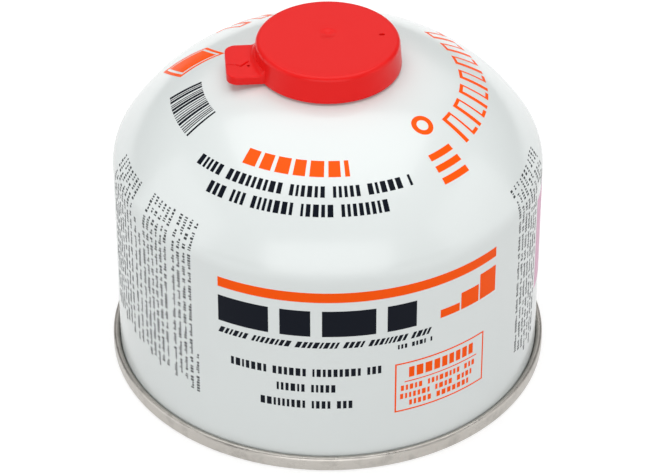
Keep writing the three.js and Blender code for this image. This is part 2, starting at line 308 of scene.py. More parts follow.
def span(start, end, steps):
    """Points along a straight line, without its first point."""
    return [
        (start[0] + (end[0] - start[0]) * i / steps, start[1] + (end[1] - start[1]) * i / steps)
        for i in range(1, steps + 1)
    ]


# Meshes


def new_piece(name, bm, sharp=32.0):
    """A smooth-shaded object from a bmesh, with its hard edges kept."""
    mesh = bpy.data.meshes.new(name)
    bmesh.ops.recalc_face_normals(bm, faces=bm.faces)
    bm.to_mesh(mesh)
    bm.free()
    mesh.shade_smooth()
    mesh.set_sharp_from_angle(angle=math.radians(sharp))
    piece = bpy.data.objects.new(name, mesh)
    bpy.context.scene.collection.objects.link(piece)
    return piece


def turn(profile, segments, moved=None):
    """A bmesh of a closed profile turned round the Z axis.

    A profile that touches the axis starts and ends on it. moved(r, z, angle) may shift a point."""
    bm = bmesh.new()
    open_ends = profile[0][0] < 1e-9
    rings = []
    for r, z in profile:
        if r < 1e-9:
            rings.append([bm.verts.new((0.0, 0.0, z))])
            continue
        ring = []
        for i in range(segments):
            angle = 2 * math.pi * i / segments
            pr, pz = moved(r, z, angle) if moved else (r, z)
            ring.append(bm.verts.new((pr * math.cos(angle), pr * math.sin(angle), pz)))
        rings.append(ring)
    pairs = list(zip(rings, rings[1:]))
    if not open_ends:
        pairs.append((rings[-1], rings[0]))
    for a, b in pairs:
        for i in range(segments):
            j = (i + 1) % segments
            corners = [a[i % len(a)], a[j % len(a)], b[j % len(b)], b[i % len(b)]]
            corners = list(dict.fromkeys(corners))
            if len(corners) > 2:
                bm.faces.new(corners)
    return bm


def closed_sheet(bm, lower, upper):
    """Joins two grids of vertices, one over the other, along their faces and round their edge."""
    rows = len(upper) - 1
    columns = len(upper[0]) - 1
    for i in range(rows):
        for j in range(columns):
            bm.faces.new((upper[i][j], upper[i + 1][j], upper[i + 1][j + 1], upper[i][j + 1]))
            bm.faces.new((lower[i][j], lower[i][j + 1], lower[i + 1][j + 1], lower[i + 1][j]))
    loop = [(i, 0) for i in range(rows)] + [(rows, j) for j in range(columns)]
    loop += [(i, columns) for i in range(rows, 0, -1)] + [(0, j) for j in range(columns, 0, -1)]
    for (i, j), (m, n) in zip(loop, loop[1:] + loop[:1]):
        bm.faces.new((lower[i][j], lower[m][n], upper[m][n], upper[i][j]))


def applied(piece, kind, **settings):
    """Adds a modifier and bakes it into the mesh."""
    modifier = piece.modifiers.new(kind.title(), kind)
    for name, value in settings.items():
        setattr(modifier, name, value)
    graph = bpy.context.evaluated_depsgraph_get()
    mesh = bpy.data.meshes.new_from_object(piece.evaluated_get(graph))
    piece.modifiers.clear()
    old = piece.data
    piece.data = mesh
    bpy.data.meshes.remove(old)


def seated(piece, body, node, material):
    """Puts a piece on its body, in place of its node, with its finish."""
    piece.data.materials.clear()
    piece.data.materials.append(material)
    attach(piece, body)
    if node:
        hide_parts(node)


# Shared effects, as node groups


def lathed(name, profile, segments, node, material, sharp=32.0, moved=None, body=BODY):
    """A turned piece, in its place on a body."""
    seated(new_piece(name, turn(profile, segments, moved), sharp), body, node, material)


def group(name, inputs, outputs):
    """A shader node group with typed sockets, and its two end nodes."""
    tree = bpy.data.node_groups.new(name, "ShaderNodeTree")
    for label, kind, value in inputs:
        socket = tree.interface.new_socket(name=label, in_out="INPUT", socket_type=kind)
        if value is not None:
            socket.default_value = value
    for label, kind in outputs:
        tree.interface.new_socket(name=label, in_out="OUTPUT", socket_type=kind)
    start = tree.nodes.new("NodeGroupInput")
    end = tree.nodes.new("NodeGroupOutput")
    return tree, start, end


def noise(tree, vector, scale, detail=3.0, roughness=0.5):
    node = tree.nodes.new("ShaderNodeTexNoise")
    node.inputs["Detail"].default_value = detail
    node.inputs["Roughness"].default_value = roughness
    tree.links.new(vector, node.inputs["Vector"])
    if isinstance(scale, float):
        node.inputs["Scale"].default_value = scale
    else:
        tree.links.new(scale, node.inputs["Scale"])
    return node.outputs["Fac"]


def remap(tree, value, from_low, from_high, to_low, to_high):
    node = tree.nodes.new("ShaderNodeMapRange")
    node.inputs["From Min"].default_value = from_low
    node.inputs["From Max"].default_value = from_high
    tree.links.new(value, node.inputs["Value"])
    for socket, limit in (("To Min", to_low), ("To Max", to_high)):
        if isinstance(limit, float):
            node.inputs[socket].default_value = limit
        else:
            tree.links.new(limit, node.inputs[socket])
    return node.outputs["Result"]


def maths(tree, operation, a, b=0.0):
    node = tree.nodes.new("ShaderNodeMath")
    node.operation = operation
    for socket, value in zip(node.inputs, (a, b)):
        if isinstance(value, float):
            socket.default_value = value
        else:
            tree.links.new(value, socket)
    return node.outputs[0]


def scuff_group():
    """Soft blotches and fine scratches that vary roughness, with the scratches also given out for fine
    bumps.
    """
    tree, start, end = group(
        "Scuffs",
        [
            ("Vector", "NodeSocketVector", None),
            ("Blotch Scale", "NodeSocketFloat", 60.0),
            ("Scratch Scale", "NodeSocketFloat", 700.0),
            ("Low", "NodeSocketFloat", 0.2),
            ("High", "NodeSocketFloat", 0.3),
        ],
        [("Value", "NodeSocketFloat"), ("Scratches", "NodeSocketFloat")],
    )
    blotch = noise(tree, start.outputs["Vector"], start.outputs["Blotch Scale"], 4.0)
    stretch = tree.nodes.new("ShaderNodeMapping")
    stretch.inputs["Scale"].default_value = (1.0, 1.0, 9.0)
    tree.links.new(start.outputs["Vector"], stretch.inputs["Vector"])
    fine = noise(tree, stretch.outputs["Vector"], start.outputs["Scratch Scale"], 2.0, 0.6)
    scratches = remap(tree, fine, 0.35, 0.7, 0.0, 1.0)
    both = maths(tree, "ADD", maths(tree, "MULTIPLY", blotch, 0.7), maths(tree, "MULTIPLY", scratches, 0.3))
    value = remap(tree, both, 0.3, 0.7, start.outputs["Low"], start.outputs["High"])
    tree.links.new(value, end.inputs["Value"])
    tree.links.new(scratches, end.inputs["Scratches"])
    return tree


def ripple_group():
    """Height of a surface that is not quite flat, such as sprayed lacquer or moulded plastic."""
    tree, start, end = group(
        "Ripple",
        [
            ("Vector", "NodeSocketVector", None),
            ("Scale", "NodeSocketFloat", 400.0),
            ("Amount", "NodeSocketFloat", 1.0),
        ],
        [("Height", "NodeSocketFloat")],
    )
    height = noise(tree, start.outputs["Vector"], start.outputs["Scale"], 2.0, 0.45)
    scaled = maths(tree, "MULTIPLY", height, start.outputs["Amount"])
    tree.links.new(scaled, end.inputs["Height"])
    return tree


def use(tree, effect, vector, **values):
    """Places an effect's group in a material with its own values."""
    node = tree.nodes.new("ShaderNodeGroup")
    node.node_tree = effect
    tree.links.new(vector, node.inputs["Vector"])
    for name, value in values.items():
        node.inputs[name.replace("_", " ").title()].default_value = value
    return node


def principled(name, base, **settings):
    """A material with object coordinates and its Principled shader."""
    material = bpy.data.materials.new(name)
    material.use_nodes = True
    tree = material.node_tree
    shader = tree.nodes["Principled BSDF"]
    shader.inputs["Base Color"].default_value = (*base, 1.0)
    for label, value in settings.items():
        shader.inputs[label.replace("_", " ").title().replace("Ior", "IOR")].default_value = value
    place = tree.nodes.new("ShaderNodeTexCoord").outputs["Object"]
    return material, tree, shader, place


def bump_from(tree, shader, height, distance, strength=1.0):
    node = tree.nodes.new("ShaderNodeBump")
    node.inputs["Distance"].default_value = distance
    node.inputs["Strength"].default_value = strength
    tree.links.new(height, node.inputs["Height"])
    tree.links.new(node.outputs["Normal"], shader.inputs["Normal"])


def tinted(tree, shader, base, factor, darker):
    """Base colour that sinks towards a darker tone where the factor is high."""
    mix = tree.nodes.new("ShaderNodeMix")
    mix.data_type = "RGBA"
    mix.inputs["A"].default_value = (*base, 1.0)
    mix.inputs["B"].default_value = (*(darker * c for c in base), 1.0)
    tree.links.new(factor, mix.inputs["Factor"])
    tree.links.new(mix.outputs["Result"], shader.inputs["Base Color"])


# Materials


def scuffed(tree, shader, place, effects, blotch, scratch, smooth, rough):
    """Uneven roughness between two values, from the shared scuffs."""
    scuffs = use(
        tree, effects.scuffs, place, blotch_scale=blotch, scratch_scale=scratch, low=smooth, high=rough
    )
    tree.links.new(scuffs.outputs["Value"], shader.inputs["Roughness"])
    return scuffs


def lacquer_material(effects, name, base, roughness=0.2, shine=0.5, coat=0.2):
    """Gloss lacquer or ink: a little orange peel and uneven gloss."""
    material, tree, shader, place = principled(
        name, base, specular_ior_level=shine, coat_weight=coat, coat_roughness=0.08
    )
    scuffed(tree, shader, place, effects, 38.0, 900.0, roughness, roughness + 0.06)
    tinted(tree, shader, base, remap(tree, noise(tree, place, 26.0, 3.0), 0.45, 0.8, 0.0, 0.3), 0.93)
    ripple = use(tree, effects.ripple, place, scale=520.0, amount=1.0)
    bump_from(tree, shader, ripple.outputs["Height"], 0.00002, 0.03)
    return material


def metal_material(effects, name, base, low_rough, high_rough, stain=0.82):
    """Drawn tinplate: fine marks round the axis, blotches and a few dull spots."""
    material, tree, shader, place = principled(name, base, metallic=1.0)
    scuffs = scuffed(tree, shader, place, effects, 130.0, 1500.0, low_rough, high_rough)
    stains = remap(tree, noise(tree, place, 240.0, 4.0, 0.6), 0.5, 0.68, 0.0, 1.0)
    tinted(tree, shader, base, stains, stain)
    bump_from(tree, shader, scuffs.outputs["Scratches"], 0.00003, 0.35)
    return material


def plastic_material(effects, name, base, low_rough, high_rough, skin=0.5, **settings):
    """Moulded plastic or rubber with a soft uneven skin."""
    material, tree, shader, place = principled(name, base, **settings)
    scuffed(tree, shader, place, effects, 90.0, 800.0, low_rough, high_rough)
    ripple = use(tree, effects.ripple, place, scale=260.0, amount=1.0)
    bump_from(tree, shader, ripple.outputs["Height"], 0.00004, skin)
    return material


def finishes(scene):
    """All materials, made once."""
    colours = scene.finishes
    effects = SimpleNamespace(
        scuffs=bpy.data.node_groups.get("Scuffs") or scuff_group(),
        ripple=bpy.data.node_groups.get("Ripple") or ripple_group(),
    )

    def once(name, make, *values, **settings):
        return bpy.data.materials.get(name) or make(effects, name, *values, **settings)

    ink = (0.3, 0.06, 0.0)
    return SimpleNamespace(
        lacquer=once("White lacquer", lacquer_material, tuple(colours.lacquer)),
        tinplate=once("Tinplate", metal_material, tuple(colours.tinplate), 0.26, 0.42),
        cup_steel=once("Cup steel", metal_material, tuple(colours.cup_steel), 0.16, 0.28, 0.9),
        spring=once("Spring wire", metal_material, tuple(colours.spring), 0.2, 0.35),
        rubber=once("Black rubber", plastic_material, tuple(colours.rubber), 0.6, 0.8),
        nylon=once("Pale nylon", plastic_material, tuple(colours.nylon), 0.35, 0.5, subsurface_weight=0.15),
        cap=once(
            "Red cap plastic",
            plastic_material,
            tuple(colours.cap),
            0.3,
            0.34,
            0.05,
            specular_ior_level=0.2,
        ),
        black_ink=once("Black ink", lacquer_material, tuple(colours.black_ink), *ink),
        grey_ink=once("Grey ink", lacquer_material, tuple(colours.grey_ink), *ink),
        orange_ink=once("Orange ink", lacquer_material, tuple(colours.orange_ink), *ink),
        pink_ink=once("Pink ink", lacquer_material, tuple(colours.pink_ink), *ink),
    )


# Can and base


def can_profile(p):
    """Outside, folded flange, rolled bead and valve well of the can."""
    c = p.can
    v = p.valve
    skin = c.dish + c.sheet + c.gap
    dish_end = angle_to(p.dish, p.dish_edge)
    hook = (c.radius + c.fold, 2 * c.sheet + c.gap + c.fold)
    hook_tip = c.seam_height - c.sheet - c.gap
    under_floor = p.floor - c.sheet - v.well_gap
    well = p.cup_wall + c.sheet + v.well_gap
    housing = v.housing_neck + v.well_gap
    well_bottom = low("valve_housing")[2] - v.well_gap
    return [
        (0.0, p.dish[1] + skin),
        *arc(p.dish, skin, 90, dish_end, 16)[1:],
        *arc(p.dish_edge, c.chuck_bend + c.sheet + c.gap, dish_end, 0, 6)[1:],
        *arc(hook, c.fold + c.sheet, 180, 360, 12),
        (c.radius + 2 * c.fold + c.sheet, hook_tip),
        (c.radius + 2 * c.fold, hook_tip),
        *arc(hook, c.fold, 0, -180, 10),
        *span((c.radius, hook[1]), (c.radius, c.wall_top), 24),
        *arc(p.knuckle, c.knuckle, 0, math.degrees(c.knuckle_turn), 14)[1:],
        *arc(p.crown, c.crown, math.degrees(c.knuckle_turn), angle_to(p.crown, p.neck), 44)[1:],
        *arc(p.neck, c.neck_fillet, angle_to(p.neck, p.crown), -180, 8)[1:],
        *arc(p.bead, c.bead - c.sheet, 180, -110, 20),
        *arc(p.bead, c.bead, -110, 180, 24),
        *arc(p.neck, c.neck_fillet + c.sheet, 180, 270, 8),
        (p.neck[0], p.clinch - v.clinch_half + v.well_gap),
        (well, p.clinch - v.clinch_half - v.well_gap),
        (well, under_floor),
        (housing, under_floor),
        (housing, well_bottom),
        (0.0, well_bottom),
    ]


def base_profile(p):
    """Dished panel and double seam of the base end."""
    c = p.can
    dish_end = angle_to(p.dish, p.dish_edge)
    seam = c.radius + 3 * (c.sheet + c.gap)
    fold = c.fold + c.sheet
    foot_in = (p.chuck + fold, fold)
    foot_out = (seam - fold, fold)
    top = (seam - fold, c.seam_height - fold)
    hook_tip = 2 * c.sheet + 2 * c.gap
    return [
        (0.0, p.dish[1] + c.dish),
        *arc(p.dish, c.dish, 90, dish_end, 24)[1:],
        *arc(p.dish_edge, c.chuck_bend, dish_end, 0, 8)[1:],
        *arc(foot_in, fold, 180, 270, 8),
        *arc(foot_out, fold, 270, 360, 8),
        *arc(top, fold, 0, 180, 16),
        (top[0] - fold, hook_tip),
        (top[0] - c.fold, hook_tip),
        *arc(top, c.fold, 180, 0, 10),
        *arc(foot_out, c.fold, 0, -90, 6),
        *arc(foot_in, c.fold, 270, 180, 6),
        *arc(p.dish_edge, c.chuck_bend + c.sheet, 0, dish_end, 8),
        *arc(p.dish, c.dish + c.sheet, dish_end, 90, 24)[1:-1],
        (0.0, p.dish[1] + c.dish + c.sheet),
    ]


class Step:
    """Base of the steps that make pieces from the sizes and finishes."""

    def execute(self, context):
        self.make(places(context.scene), finishes(context.scene))
        return {"FINISHED"}


class CARTRIDGE_OT_can(Step, bpy.types.Operator):
    """Make the lacquered can and its tinplate base"""

    bl_idname = "cartridge.can"
    bl_label = "Can and base"

    def make(self, p, mats):
        lathed("can_shell", can_profile(p), 256, "can_body", mats.lacquer)
        lathed("base_shell", base_profile(p), 256, "base_end", mats.tinplate, 60.0)


# Print, as thin films of ink on the lacquer


class Skin:
    """The can's outer surface, by angle from the printed front and by distance up the profile."""

    def __init__(self, p):
        self.p = p
        c = p.can
        self.bend = c.wall_top + c.knuckle * c.knuckle_turn

    def up(self, r):
        """Distance up the profile at which the dome has this radius."""
        turned = math.acos((r - self.p.crown[0]) / self.p.can.crown)
        return self.bend + self.p.can.crown * (turned - self.p.can.knuckle_turn)

    def section(self, s):
        """Radius, height and outward slope (as cosine and sine) at distance s."""
        c = self.p.can
        if s <= c.wall_top:
            return c.radius, s, 1.0, 0.0
        if s <= self.bend:
            t = (s - c.wall_top) / c.knuckle
            centre, radius = self.p.knuckle, c.knuckle
        else:
            t = c.knuckle_turn + (s - self.bend) / c.crown
            centre, radius = self.p.crown, c.crown
        return centre[0] + radius * math.cos(t), centre[1] + radius * math.sin(t), math.cos(t), math.sin(t)

    def point(self, angle, s, lift):
        r, z, out, up = self.section(s)
        a = math.radians(FRONT + angle)
        r += lift * out
        return (r * math.cos(a), r * math.sin(a), z + lift * up)

    def degrees(self, x, s):
        """Angle that a distance x round the can covers at distance s up it."""
        return math.degrees(x / self.section(s)[0])


def between(corners, u, v):
    """The place at u and v, from 0 to 1, between four corners."""
    a, b, c, d = corners
    low_side = [a[k] + (b[k] - a[k]) * u for k in (0, 1)]
    high_side = [d[k] + (c[k] - d[k]) * u for k in (0, 1)]
    return tuple(low_side[k] + (high_side[k] - low_side[k]) * v for k in (0, 1))


class Ink:
    """Collects films of one colour and makes them one piece."""

    TOP = 0.035 * MM
    BOTTOM = -0.02 * MM

    def __init__(self, skin, rng, name, material):
        self.skin = skin
        self.rng = rng
        self.name = name
        self.material = material
        self.bm = bmesh.new()

    def film(self, shape, nu, nv):
        """A closed film over the grid that shape(u, v) gives as (angle, s), with u and v from 0 to 1."""

        def layer(lift):
            places = [[shape(i / nu, j / nv) for j in range(nv + 1)] for i in range(nu + 1)]
            return [[self.bm.verts.new(self.skin.point(*at, lift)) for at in row] for row in places]

        closed_sheet(self.bm, layer(self.BOTTOM), layer(self.TOP))

    def quad(self, corners, nu=1, nv=1):
        """A film between four (angle, s) corners, anticlockwise from the lower left."""
        self.film(lambda u, v: between(corners, u, v), nu, nv)

    def bar(self, left, right, bottom, top, lean=0.0):
        """An upright or leaning bar; left and right are angles, lean is added to its top."""
        nu = max(1, round(abs(right - left) / 2.0))
        nv = max(1, round((top - bottom) / (2.0 * MM)))
        self.quad(((left, bottom), (right, bottom), (right + lean, top), (left + lean, top)), nu, nv)

    def finish(self):
        piece = new_piece(self.name, self.bm, 50.0)
        seated(piece, BODY, None, self.material)


def blocks(ink, left, right, bottom, top, widths, gap, words, lean=0.0):
    """A row of small blocks, in groups, between two angles: plain marks in place of a line of words."""
    rng = ink.rng
    at = left
    count = rng.randint(*words)
    middle = (bottom + top) / 2
    while True:
        wide = ink.skin.degrees(rng.uniform(*widths), middle)
        if at + wide > right:
            break
        ink.bar(at, at + wide, bottom, top, lean)
        at += wide + ink.skin.degrees(gap, middle)
        count -= 1
        if count == 0:
            at += ink.skin.degrees(2.2 * gap, middle)
            count = rng.randint(*words)


def column(ink, angle, width, bottom, top):
    """A column of small strokes up the can: plain marks in place of small print."""
    rng = ink.rng
    half = ink.skin.degrees(width / 2, bottom)
    at = top
    while at > bottom + 3 * MM:
        strokes = rng.randint(2, 7)
        for _ in range(strokes):
            tall = rng.uniform(0.26, 0.6) * MM
            if at - tall < bottom:
                return
            inset = rng.choice((0.0, 0.0, 0.5, 0.9)) * half
            left = angle - half + inset
            right = angle + half
            ink.quad(((left, at - tall), (right, at - tall), (right, at), (left, at)))
            at -= tall + 0.32 * MM
        at -= 0.85 * MM


def frame_lines(ink, left, right, bottom, top, line):
    """A rectangular outline."""
    wide = ink.skin.degrees(line, bottom)
    ink.bar(left, right, bottom, bottom + line)
    ink.bar(left, right, top - line, top)
    ink.bar(left, left + wide, bottom + line, top - line)
    ink.bar(right - wide, right, bottom + line, top - line)


def front_mark(black, orange):
    """Four upright black blocks under an orange band, with orange steps on their right."""
    at = -29.5
    for wide in (14.0, 8.0, 14.0, 8.0):
        black.bar(at, at + wide, 40.4 * MM, 48.0 * MM)
        at += wide + 3.0
    band = [(-29.5, 50.6), (49.5, 50.6), (49.5, 53.4), (-29.5, 53.4)]
    orange.quad([(a, s * MM) for a, s in band], 60, 8)
    for start, top in ((30.5, 42.8), (37.0, 45.4), (43.5, 48.0)):
        orange.bar(start, start + 6.0, 40.4 * MM, top * MM)
    blocks(black, -29.6, 28.0, 36.9 * MM, 38.7 * MM, (0.5 * MM, 1.2 * MM), 0.45 * MM, (4, 8), 0.9)
    blocks(black, 18.4, 28.4, 34.5 * MM, 35.8 * MM, (0.4 * MM, 0.8 * MM), 0.4 * MM, (3, 5))


def front_rows(black):
    """Three centred rows under the mark."""
    for left, right, bottom in ((-26.0, 14.8, 28.2), (-13.4, 2.8, 23.4), (-17.8, 6.6, 18.4)):
        top = (bottom + 2.3) * MM
        blocks(black, left, right, bottom * MM, top, (0.45 * MM, 1.2 * MM), 0.5 * MM, (4, 9))


def orange_panel(orange):
    """Outlined orange panel at the lower right."""
    frame_lines(orange, 17.7, 45.4, 15.1 * MM, 30.0 * MM, 0.4 * MM)
    blocks(orange, 21.6, 42.2, 25.2 * MM, 28.3 * MM, (1.0 * MM, 1.9 * MM), 0.6 * MM, (9, 9))
    orange.bar(20.4, 42.9, 23.9 * MM, 24.2 * MM)
    for bottom, left, right in ((21.4, 19.4, 43.4), (18.9, 19.2, 43.8), (16.5, 21.8, 41.2)):
        top = (bottom + 1.6) * MM
        blocks(orange, left, right, bottom * MM, top, (0.5 * MM, 1.1 * MM), 0.5 * MM, (4, 8))


def small_print(grey):
    """Columns of strokes on the left and on the right of the front."""
    rng = grey.rng
    shoulder = 64.7
    left = [(-36.5, 27.0)] + [(-38.5 - 1.95 * i, shoulder) for i in range(4)]
    left += [(-47.4 - 1.86 * i, shoulder + 0.1) for i in range(6)]
    left += [(-59.2, 52.0), (-61.4, 55.5)] + [(-64.2 - 2.05 * i, shoulder - 0.4) for i in range(8)]
    right = [(61.0 + 2.05 * i, shoulder - 1.0) for i in range(7)]
    for angle, top in left:
        foot = 14.2 - 0.06 * (angle + 36.5) + rng.uniform(0.0, 0.8)
        column(grey, angle, 0.9 * MM, foot * MM, (top - rng.uniform(0.0, 0.5)) * MM)
    for angle, top in right:
        foot = 12.0 - 0.27 * (angle - 60.0) + rng.uniform(0.0, 0.8)
        column(grey, angle, 0.9 * MM, foot * MM, (top - rng.uniform(0.0, 0.5)) * MM)
    for i in range(4):
        column(grey, 76.0 + 2.05 * i, 0.9 * MM, 53.5 * MM, (shoulder - rng.uniform(0.5, 1.0)) * MM)


def dome_rows(black, orange):
    """Rows that follow the dome in front of the cap."""
    up = black.skin.up
    at = -33.2
    for wide in (5.4, 4.6, 5.4, 4.6, 5.4, 4.6, 1.8):
        orange.bar(at, at + wide, up(37.1 * MM), up(33.5 * MM))
        at += wide + 1.6
    widths = (0.6 * MM, 1.4 * MM)
    blocks(black, -49.4, 31.0, up(41.2 * MM), up(39.0 * MM), widths, 0.6 * MM, (5, 9))
    blocks(black, -40.4, 19.6, up(44.7 * MM), up(42.5 * MM), widths, 0.6 * MM, (3, 8))


def dome_signs(black, orange):
    """Diamond, bars, ring over three lines, and the orange border round the right of the cap."""
    rng = black.rng
    skin = black.skin
    up = skin.up

    def at_place(angle, r, x, y):
        s = up(r) + y
        return angle + skin.degrees(x, s), s

    diamond = ((-110.1, 73.8), (-97.3, 82.8), (-107.9, 93.7), (-117.2, 86.1))
    for inset, hollow in ((0.0, 0.07), (0.13, 0.5)):
        nested_quad(orange, diamond, inset, hollow)

    at = -86.5
    while at < -61.0:
        wide = rng.choice((0.5, 0.5, 0.9, 1.3))
        black.bar(at, at + wide, 80.2 * MM, 89.2 * MM)
        at += wide + rng.choice((0.6, 0.6, 0.9, 1.2))

    def ring(u, v):
        turned = 2 * math.pi * u
        radius = (1.5 + 1.3 * v) * MM
        return at_place(47.6, 30.6 * MM, radius * math.cos(turned), radius * math.sin(turned))

    orange.film(ring, 40, 1)
    for bottom in (74.0, 77.2, 80.4):
        orange.bar(40.0, 51.0, bottom * MM, (bottom + 1.7) * MM)

    inner = up(32.2 * MM)
    outer = up(39.2 * MM)
    line = 0.9 * MM
    for start, end in ((58.0, 147.0), (205.0, 236.0)):
        cell = 11.2
        at = start
        while at + cell <= end:
            half = cell / 2
            orange.bar(at, at + 1.9, outer, inner)
            orange.bar(at + 1.9, at + half, inner - line, inner)
            orange.bar(at + half, at + half + 1.0, outer, inner)
            orange.bar(at + half + 1.0, at + cell - 1.6, outer, outer + line)
            at += cell


def nested_quad(ink, corners, inset, hollow):
    """A four-cornered field, shrunk towards its middle by inset, and left open inside hollow."""

    def at_uv(u, v):
        angle, s = between(corners, u, v)
        return angle, s * MM

    def patch(u0, u1, v0, v1, nu, nv):
        ink.film(lambda u, v: at_uv(u0 + (u1 - u0) * u, v0 + (v1 - v0) * v), nu, nv)

    low_end, high_end = inset, 1 - inset
    if inset < 0.5 <= hollow:
        patch(low_end, high_end, low_end, high_end, 10, 10)
        return
    patch(low_end, high_end, low_end, hollow, 12, 1)
    patch(low_end, high_end, 1 - hollow, high_end, 12, 1)
    patch(low_end, hollow, hollow, 1 - hollow, 1, 12)
    patch(1 - hollow, high_end, hollow, 1 - hollow, 1, 12)


def pink_field(pink):
    """Pink upright field at the right of the print."""
    pink.bar(75.6, 98.0, 24.5 * MM, 51.6 * MM)


class CARTRIDGE_OT_print(Step, bpy.types.Operator):
    """Print the can with plain marks and fields of colour"""

    bl_idname = "cartridge.print"
    bl_label = "Print"

    def make(self, p, mats):
        skin = Skin(p)
        rng = random.Random(PRINT_SEED)
        black = Ink(skin, rng, "black_print", mats.black_ink)
        grey = Ink(skin, rng, "small_print", mats.grey_ink)
        orange = Ink(skin, rng, "orange_print", mats.orange_ink)
        pink = Ink(skin, rng, "pink_print", mats.pink_ink)
        front_mark(black, orange)
        front_rows(black)
        orange_panel(orange)
        small_print(grey)
        dome_rows(black, orange)
        dome_signs(black, orange)
        pink_field(pink)
        for ink in (black, grey, orange, pink):
            ink.finish()


# Valve


def cup_profile(p):
    """Rim, trough, turret and crimps of the valve cup."""
    c = p.can
    v = p.valve
    outside = p.cup_wall + c.sheet
    inside = v.turret - c.sheet
    corner = (p.cup_wall - v.cup_corner, p.floor + v.cup_corner)
    root = (v.turret + v.turret_fillet, p.floor + v.turret_fillet)
    top = (v.turret - v.turret_fillet, p.turret_top - v.turret_fillet)
    groove_top = (v.turret, p.crimp + v.crimp_half)
    return [
        *arc(p.bead, p.curl_out, -25, 180, 28),
        *reversed(bump(p.cup_wall, p.clinch, v.clinch_half, v.clinch_depth, 14)),
        *arc(corner, v.cup_corner, 0, -90, 8),
        *arc(root, v.turret_fillet, 270, 180, 8),
        *bump(v.turret, p.crimp, v.crimp_half, -v.crimp_depth, 12),
        *span(groove_top, (v.turret, top[1]), 72),
        *arc(top, v.turret_fillet, 0, 90, 8)[1:],
        (v.pin_hole, p.turret_top),
        (v.pin_hole, p.turret_top - c.sheet),
        *arc(top, v.turret_fillet - c.sheet, 90, 0, 6),
        *reversed(bump(inside, p.crimp, v.crimp_half, -v.crimp_depth, 12)),
        *arc(root, v.turret_fillet + c.sheet, 180, 270, 8),
        *arc(corner, v.cup_corner + c.sheet, -90, 0, 8),
        *bump(outside, p.clinch, v.clinch_half, v.clinch_depth, 14),
        *arc(p.bead, p.curl_in, 180, -25, 24),
    ]


def thread_shift(p):
    """Cuts a helical thread into the turret's wall, fading out at both ends."""
    v = p.valve
    low_end = p.crimp + v.crimp_half
    high_end = p.turret_top - v.turret_fillet

    def moved(r, z, angle):
        if abs(r - v.turret) > 0.01 * MM or not low_end < z < high_end:
            return r, z
        fade = min(1.0, (z - low_end) / (0.5 * MM), (high_end - z) / (0.4 * MM))
        phase = (z / v.pitch - angle / (2 * math.pi)) % 1.0
        groove = 1.0 - abs(2 * phase - 1.0)
        return r - v.thread_depth * fade * groove, z

    return moved


def spring_mesh(p):
    """Round wire along a helix, closed at both ends."""
    wire = p.valve.wire
    bottom = low("valve_spring")[2] + wire
    top = high("valve_spring")[2] - wire
    steps = 32 * p.valve.turns
    sides = 12
    bm = bmesh.new()
    rings = []
    for i in range(steps + 1):
        t = i / steps
        angle = 2 * math.pi * p.valve.turns * t
        along = Vector((-math.sin(angle), math.cos(angle), 0.0))
        out = Vector((math.cos(angle), math.sin(angle), 0.0))
        centre = out * COIL + Vector((0, 0, bottom + (top - bottom) * t))
        up = along.cross(out) * -1
        ring = []
        for j in range(sides):
            a = 2 * math.pi * j / sides
            ring.append(bm.verts.new(centre + out * (wire * math.cos(a)) + up * (wire * math.sin(a))))
        rings.append(ring)
    for a, b in zip(rings, rings[1:]):
        for j in range(sides):
            bm.faces.new((a[j], a[(j + 1) % sides], b[(j + 1) % sides], b[j]))
    bm.faces.new(rings[0])
    bm.faces.new(rings[-1])
    return bm


def softened(profile, radius, steps=4):
    """Rounds every corner of a closed profile that is off the axis."""
    points = []
    count = len(profile)
    for i, here in enumerate(profile):
        if here[0] < 1e-9:
            points.append(here)
            continue
        corner = Vector(here)
        before = (Vector(profile[i - 1]) - corner).normalized()
        after = (Vector(profile[(i + 1) % count]) - corner).normalized()
        for k in range(steps + 1):
            t = k / steps
            a = corner + before * radius * (1 - t)
            b = corner + after * radius * t
            points.append(tuple(a + (b - a) * t))
    return points


